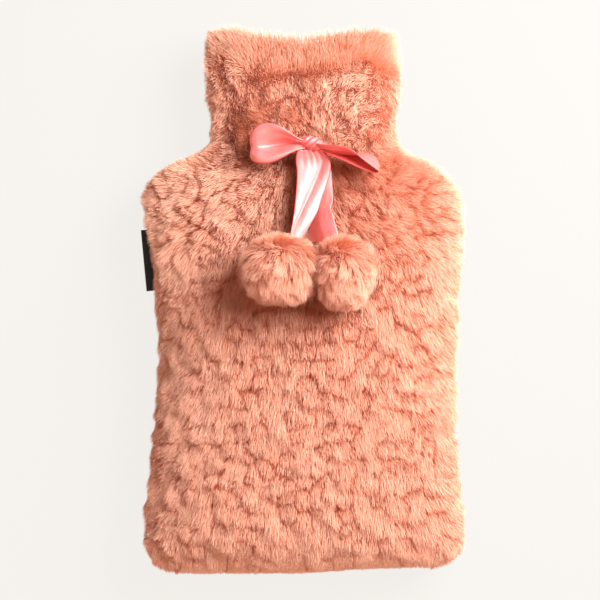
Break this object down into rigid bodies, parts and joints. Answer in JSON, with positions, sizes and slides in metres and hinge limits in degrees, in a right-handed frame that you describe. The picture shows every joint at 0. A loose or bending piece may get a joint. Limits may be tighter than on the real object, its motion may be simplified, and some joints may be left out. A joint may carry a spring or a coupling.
{
  "type": "hot water bottle cover",
  "caption": "Hollow plush pile cover for a hot water bottle, with shoulders, an open neck, a satin ribbon bow at the neck's foot and fur pompoms on its tails.",
  "frame": {"origin": "middle of the flat of the back, on the surface that the cover lies on", "axes": "+Y from the bottom seam to the mouth, +X to the right of someone who looks at the front, +Z out of the front"},
  "size_m": [0.2274, 0.378, 0.1061],
  "materials": {
    "front_pile": "long coral plush pile, soft and matt",
    "back_pile": "long coral plush pile, soft and matt",
    "satin": "pink satin ribbon with a strong sheen",
    "left_pompom_pile": "coral fur in locks",
    "right_pompom_pile": "coral fur in locks",
    "woven_black": "black woven tape, bare"
  },
  "bodies": {
    "root": {"front_panel": "front_pile", "back_panel": "back_pile", "ribbon_bow": "satin", "pompom_left": "left_pompom_pile", "pompom_right": "right_pompom_pile", "side_label": "woven_black"}
  },
  "joints": []
}
